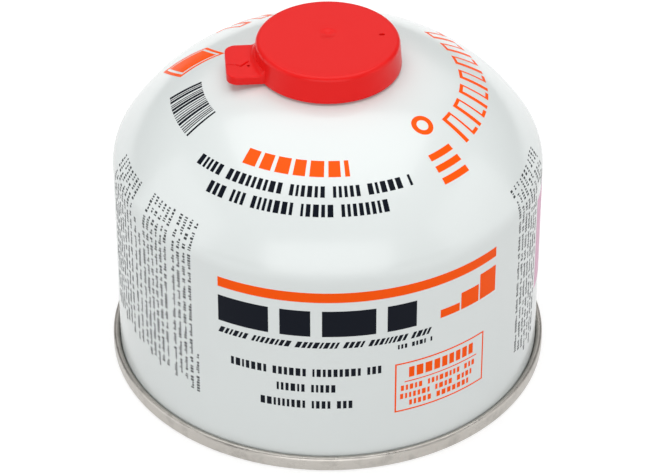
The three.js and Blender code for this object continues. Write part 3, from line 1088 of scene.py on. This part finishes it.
class CARTRIDGE_OT_valve(Step, bpy.types.Operator):
    """Make the valve cup, gaskets, housing, stem and spring"""

    bl_idname = "cartridge.valve"
    bl_label = "Valve"

    def make(self, p, mats):
        c = p.can
        v = p.valve
        thread = thread_shift(p)
        lathed("valve_cup", cup_profile(p), 160, "mounting_cup", mats.cup_steel, 50.0, thread)

        inner = c.bead + v.gasket_gap
        outer = inner + v.gasket
        skirt = low("cup_gasket")[2]
        sleeve = [
            *arc(p.bead, inner, 5, 180, 24),
            (p.bead[0] - inner, skirt),
            (p.bead[0] - outer, skirt),
            *arc(p.bead, outer, 180, 5, 24),
        ]
        lathed("sleeve_gasket", sleeve, 128, "cup_gasket", mats.rubber)

        low_ring = low("stem_gasket")[2]
        high_ring = high("stem_gasket")[2]
        wide = high("stem_gasket")[0]
        ring = [(SEAL_HOLE, low_ring), (wide, low_ring), (wide, high_ring), (SEAL_HOLE, high_ring)]
        lathed("stem_seal", softened(ring, 0.15 * MM), 96, "stem_gasket", mats.rubber)

        floor = low("valve_housing")[2]
        head = high("valve_housing")[2]
        shoulder = p.crimp + v.crimp_half + c.gap
        bore = v.housing_bore
        neck = v.housing_neck
        cup_floor = floor + v.housing_floor
        rim = high("valve_housing")[0]
        outline = [
            (INLET, floor),
            (neck, floor),
            (neck, shoulder),
            (rim, shoulder),
            (rim, head),
            (bore, head),
            (bore, cup_floor),
            (INLET, cup_floor),
        ]
        lathed("valve_shell", softened(outline, 0.18 * MM), 96, "valve_housing", mats.nylon)

        tail = low("valve_stem")[2]
        tip = high("valve_stem")[2]
        flange = high("valve_stem")[0]
        flange_top = low("stem_gasket")[2] - c.gap
        flange_low = flange_top - STEM_FLANGE
        outline = [
            (0.0, tail),
            (STEM_GUIDE, tail),
            (STEM_GUIDE, flange_low),
            (flange, flange_low),
            (flange, flange_top),
            (STEM_STUB, flange_top),
            (STEM_STUB, tip),
            (0.0, tip),
        ]
        outline = softened(outline, 0.15 * MM)
        lathed("stem", outline, 64, "valve_stem", mats.nylon, body="stem")

        spring = new_piece("spring_coil", spring_mesh(p), 60.0)
        seated(spring, BODY, "valve_spring", mats.spring)
        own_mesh(spring)


# Cap


def cap_profile(p):
    """Shell of the cap, with its round top edge, snap bead and moulding mark."""
    k = p.cap
    height = p.cap_top - p.cap_bottom

    def inner(z):
        return p.cap_in - k.taper * (z - p.cap_bottom) / height

    snap = (p.rim + k.snap_gap + k.snap, p.cap_bottom + k.snap_height)
    lip = 0.25 * MM
    steps = [i / 10 for i in range(11)]
    mark = [(k.gate * t, p.cap_top - k.gate_depth * (1 + math.cos(math.pi * t)) / 2) for t in steps]
    ceiling_round = (inner(p.cap_ceiling) - 0.5 * MM, p.cap_ceiling - 0.5 * MM)
    return [
        *mark,
        *span((k.gate, p.cap_top), (p.cap_out - k.taper - k.edge, p.cap_top), 6),
        *arc((p.cap_out - k.taper - k.edge, p.cap_top - k.edge), k.edge, 90, 0, 12)[1:],
        *span((p.cap_out - k.taper, p.cap_top - k.edge), (p.cap_out, p.cap_bottom + lip), 6),
        *arc((p.cap_out - lip, p.cap_bottom + lip), lip, 0, -90, 5)[1:],
        (p.cap_in, p.cap_bottom),
        (inner(snap[1] - k.snap), snap[1] - k.snap),
        *arc((snap[0], snap[1]), k.snap, 225, 135, 6),
        (inner(snap[1] + k.snap), snap[1] + k.snap),
        *arc(ceiling_round, 0.5 * MM, 0, 90, 5),
        (0.0, p.cap_ceiling),
    ]


def shift_mark(bm, p):
    """Moves the moulding mark off the axis, and lets the flat top follow it."""
    flat = p.cap_out - p.cap.taper - p.cap.edge
    for vert in bm.verts:
        near = 1 - math.hypot(vert.co.x, vert.co.y) / flat
        if near > 0 and vert.co.z > p.cap_top - 1.01 * p.cap.gate_depth:
            vert.co.y += p.cap.gate_shift * near


def crease_depth(x, y, k):
    """Depth of the bent line that is pressed into the tab, at a place in the tab's own axes."""
    nearest = min(off_segment((x, y), a, b) for a, b in zip(CREASE, CREASE[1:]))
    return k.crease_depth * max(0.0, 1.0 - nearest / k.crease_half)


def off_segment(point, a, b):
    """Distance of a point from the segment between a and b."""
    run = (b[0] - a[0], b[1] - a[1])
    t = ((point[0] - a[0]) * run[0] + (point[1] - a[1]) * run[1]) / (run[0] ** 2 + run[1] ** 2)
    t = min(1.0, max(0.0, t))
    return math.hypot(point[0] - a[0] - t * run[0], point[1] - a[1] - t * run[1])


def tab_mesh(p):
    """The pull tab in its own axes, +X outwards, with a curved ramp at its root."""
    k = p.cap
    end = p.cap_out + k.tab_reach
    half = k.tab_width / 2
    nx = 76
    ny = 96

    def side(x):
        past = max(0.0, x - (end - k.tab_corner))
        return half - (k.tab_corner - math.sqrt(max(0.0, k.tab_corner**2 - past**2)))

    def ramp(x, y):
        away = math.hypot(x, y + k.tab_offset) - p.cap_out
        left = max(0.0, k.gusset - max(0.0, away))
        return k.gusset - math.sqrt(max(0.0, k.gusset**2 - left**2))

    def rounding(x, y):
        gap = min(side(x) - abs(y), end - x)
        short = max(0.0, k.tab_round - gap)
        return k.tab_round - math.sqrt(max(0.0, k.tab_round**2 - short**2))

    def across(i, j):
        t = 2 * j / ny - 1
        eased = math.copysign(1 - (1 - abs(t)) ** 1.4, t)
        start = math.sqrt((p.cap_out - 0.55 * k.wall) ** 2 - (eased * half + k.tab_offset) ** 2)
        u = i / nx
        x = start + (end - start) * (1 - (1 - u) ** 1.3)
        return x, eased * side(x)

    bm = bmesh.new()
    upper = []
    lower = []
    for i in range(nx + 1):
        upper.append([])
        lower.append([])
        for j in range(ny + 1):
            x, y = across(i, j)
            cut = rounding(x, y)
            top = k.tab_thickness + ramp(x, y) - cut - crease_depth(x - p.cap_out, y, k)
            upper[-1].append(bm.verts.new((x, y, top)))
            lower[-1].append(bm.verts.new((x, y, 0.6 * cut)))
    closed_sheet(bm, lower, upper)
    bmesh.ops.transform(bm, matrix=tab_place(p), verts=bm.verts)
    return bm


def tab_place(p):
    """From the tab's own axes, with +X outwards, to its place on the cap."""
    place = Matrix.Translation((0, 0, p.cap_bottom)) @ Matrix.Rotation(math.pi + p.cap.tab_turn, 4, "Z")
    return place @ Matrix.Translation((0, p.cap.tab_offset, 0))


def pits_mesh(p):
    """The pinhole through the tab and the long pit in the cap's top, to be cut away."""
    k = p.cap
    hole = tab_place(p) @ Matrix.Translation((p.cap_out + k.gusset, k.pinhole_offset, k.tab_thickness / 2))
    pit = Matrix.Translation((k.pit_place, PIT_SIDE, p.cap_top))
    pit = pit @ Matrix.Diagonal((k.pit_stretch, 1.0, 1.0, 1.0))
    cuts = [(hole, k.pinhole, 4 * k.tab_thickness), (pit, k.pit, 2 * k.pit_depth)]
    bm = bmesh.new()
    for place, radius, depth in cuts:
        bmesh.ops.create_cone(
            bm, cap_ends=True, segments=24, radius1=0.8 * radius, radius2=radius, depth=depth, matrix=place
        )
    return bm


class CARTRIDGE_OT_cap(Step, bpy.types.Operator):
    """Make the red cap with its pull tab"""

    bl_idname = "cartridge.cap"
    bl_label = "Cap"

    def make(self, p, mats):
        shell = turn(cap_profile(p), 192)
        shift_mark(shell, p)
        cap = new_piece("red_cap", shell)
        tab = new_piece("tab_form", tab_mesh(p))
        hole = new_piece("pits_form", pits_mesh(p))
        applied(cap, "BOOLEAN", operation="UNION", object=tab, solver="EXACT")
        applied(cap, "BOOLEAN", operation="DIFFERENCE", object=hole, solver="EXACT")
        for helper in (tab, hole):
            bpy.data.objects.remove(helper)
        cap.data.shade_smooth()
        cap.data.set_sharp_from_angle(angle=math.radians(35))
        seated(cap, "cap", "cap", mats.cap)


# Stage


def floor_material():
    """Pale floor that reads as white to the camera and keeps the object's shadow."""
    white = (1.0, 1.0, 1.0, 1.0)
    material, tree, shader, place = principled(
        "Pale floor", (0.45, 0.45, 0.45), roughness=0.6, specular_ior_level=0.2, emission_color=white
    )
    path = tree.nodes.new("ShaderNodeLightPath")
    seen = maths(tree, "MAXIMUM", path.outputs["Is Camera Ray"], path.outputs["Is Glossy Ray"])
    away = tree.nodes.new("ShaderNodeVectorMath")
    away.operation = "LENGTH"
    tree.links.new(place, away.inputs[0])
    level = remap(tree, away.outputs["Value"], 0.12, 0.6, 0.64, 1.0)
    glow = maths(tree, "MULTIPLY", seen, level)
    tree.links.new(glow, shader.inputs["Emission Strength"])
    under = tree.nodes.new("ShaderNodeNewGeometry").outputs["Backfacing"]
    tree.links.new(maths(tree, "SUBTRACT", 1.0, under), shader.inputs["Alpha"])
    return material


def world_material(scene):
    world = bpy.data.worlds.new("Studio")
    scene.world = world
    world.use_nodes = True
    tree = world.node_tree
    back = tree.nodes["Background"]
    back.inputs["Color"].default_value = (1.0, 1.0, 1.0, 1.0)
    path = tree.nodes.new("ShaderNodeLightPath")
    seen = maths(tree, "MAXIMUM", path.outputs["Is Camera Ray"], path.outputs["Is Transmission Ray"])
    strength = remap(tree, seen, 0.0, 1.0, 0.2, 1.0)
    tree.links.new(strength, back.inputs["Strength"])


def softbox(name, place, target, size, power):
    light = bpy.data.lights.new(name, "AREA")
    light.shape = "RECTANGLE"
    light.size, light.size_y = size
    light.energy = power
    lamp = bpy.data.objects.new(name, light)
    lamp.location = place
    lamp.rotation_euler = (Vector(target) - Vector(place)).to_track_quat("-Z", "Y").to_euler()
    bpy.context.scene.collection.objects.link(lamp)


class CARTRIDGE_OT_stage(bpy.types.Operator):
    """Set the floor, the studio light and the camera"""

    bl_idname = "cartridge.stage"
    bl_label = "Stage"

    def execute(self, context):
        scene = context.scene
        bm = bmesh.new()
        bmesh.ops.create_grid(bm, x_segments=2, y_segments=2, size=3.0)
        floor = new_piece("floor", bm)
        floor.location.z = low("base_end")[2] - 0.02 * MM
        floor.data.materials.append(floor_material())
        world_material(scene)
        middle = (0.0, 0.0, 0.04)
        for name, place, size, power in LAMPS:
            softbox(name, place, middle, size, power)

        rise = math.radians(36.47)
        distance = 0.84518
        target_z = 30.68 * MM
        lens = bpy.data.cameras.new("Camera")
        lens.sensor_width = 36.0
        lens.lens = lens.sensor_width * FOCAL / PICTURE_WIDTH
        lens.shift_x = SIDE_SHIFT / PICTURE_WIDTH
        camera = bpy.data.objects.new("Camera", lens)
        camera.location = (0.0, -distance * math.cos(rise), target_z + distance * math.sin(rise))
        camera.rotation_euler = (math.pi / 2 - rise, 0.0, 0.0)
        scene.collection.objects.link(camera)
        scene.camera = camera
        scene.view_settings.view_transform = "Standard"
        return {"FINISHED"}


class CARTRIDGE_PT_panel(bpy.types.Panel):
    """Lists the steps that make the cartridge"""

    bl_idname = "CARTRIDGE_PT_panel"
    bl_label = "Gas Cartridge"
    bl_space_type = "VIEW_3D"
    bl_region_type = "UI"
    bl_category = "Cartridge"

    def draw(self, context):
        for step in STEPS:
            self.layout.operator(step.bl_idname)
        for sizes in ("can_sizes", "valve_sizes", "cap_sizes", "finishes"):
            group_of = getattr(context.scene, sizes)
            box = self.layout.box()
            for name in group_of.bl_rna.properties.keys():
                if name not in ("rna_type", "name"):
                    box.prop(group_of, name)


GROUPS = {"can_sizes": CanSizes, "valve_sizes": ValveSizes, "cap_sizes": CapSizes, "finishes": Finishes}
STEPS = (
    CARTRIDGE_OT_stage,
    CARTRIDGE_OT_can,
    CARTRIDGE_OT_print,
    CARTRIDGE_OT_valve,
    CARTRIDGE_OT_cap,
)
CLASSES = (*GROUPS.values(), *STEPS, CARTRIDGE_PT_panel)


def register():
    for cls in CLASSES:
        bpy.utils.register_class(cls)
    for name, cls in GROUPS.items():
        setattr(bpy.types.Scene, name, bpy.props.PointerProperty(type=cls))


def unregister():
    for name in GROUPS:
        delattr(bpy.types.Scene, name)
    for cls in reversed(CLASSES):
        bpy.utils.unregister_class(cls)


def main():
    register()
    bpy.ops.cartridge.stage()
    bpy.ops.cartridge.can()
    bpy.ops.cartridge.print()
    bpy.ops.cartridge.valve()
    bpy.ops.cartridge.cap()


if __name__ == "__main__":
    main()
